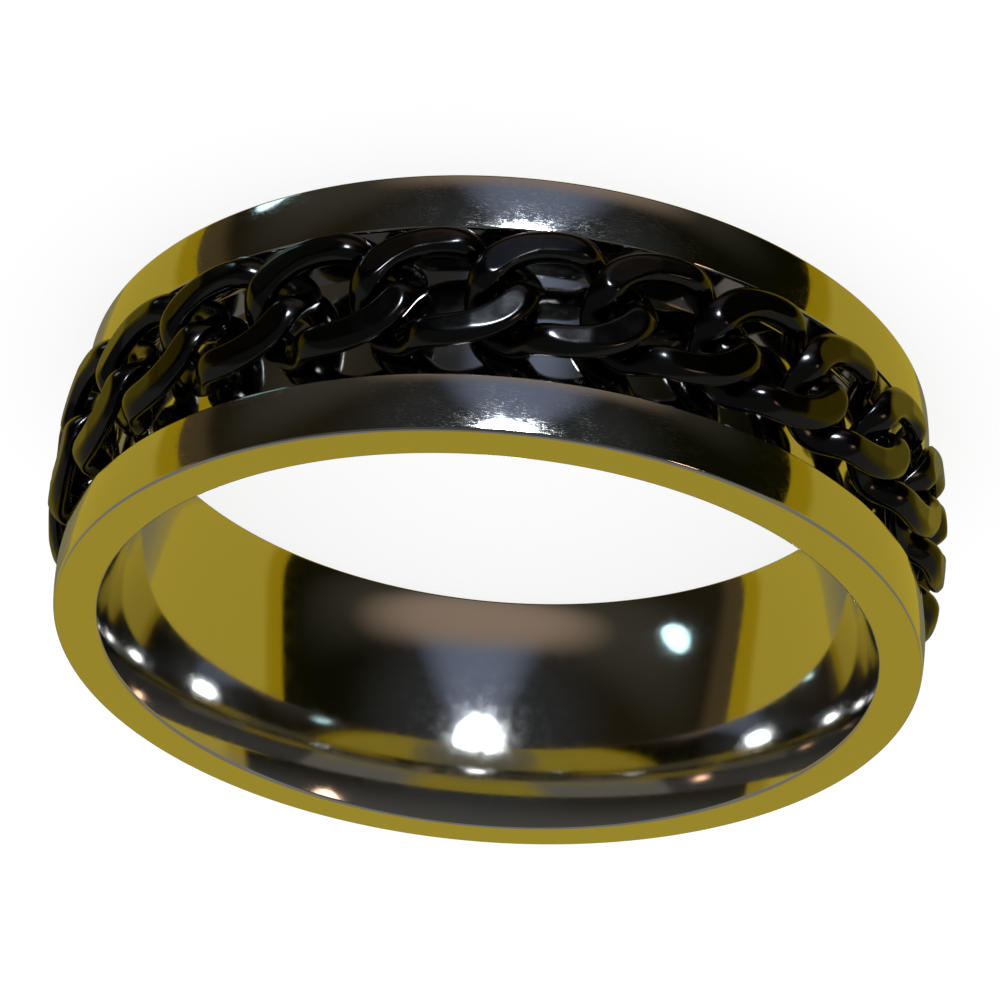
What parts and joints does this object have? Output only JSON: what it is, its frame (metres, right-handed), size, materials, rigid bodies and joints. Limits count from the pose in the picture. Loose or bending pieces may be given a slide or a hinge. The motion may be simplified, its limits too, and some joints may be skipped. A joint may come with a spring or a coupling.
{
  "type": "chain link ring",
  "caption": "Finger ring: a polished steel band with a groove round its middle, in which a closed loop of black curb chain lies.",
  "frame": {"origin": "centre of the ring's footprint, on the surface that it lies on", "axes": "+Z along the bore's axis, up out of the surface that the ring lies on"},
  "size_m": [0.0258, 0.0258, 0.008],
  "materials": {
    "band": "polished, with fine wear scratches",
    "chain": "glossy black plating, brushed on the flats"
  },
  "bodies": {
    "root": {"band": "band", "link_01": "chain", "link_02": "chain", "link_03": "chain", "link_04": "chain", "link_05": "chain", "link_06": "chain", "link_07": "chain", "link_08": "chain", "link_09": "chain", "link_10": "chain", "link_11": "chain", "link_12": "chain", "link_13": "chain", "link_14": "chain", "link_15": "chain", "link_16": "chain", "link_17": "chain", "link_18": "chain", "link_19": "chain", "link_20": "chain", "link_21": "chain", "link_22": "chain", "link_23": "chain", "link_24": "chain", "link_25": "chain"}
  },
  "joints": []
}
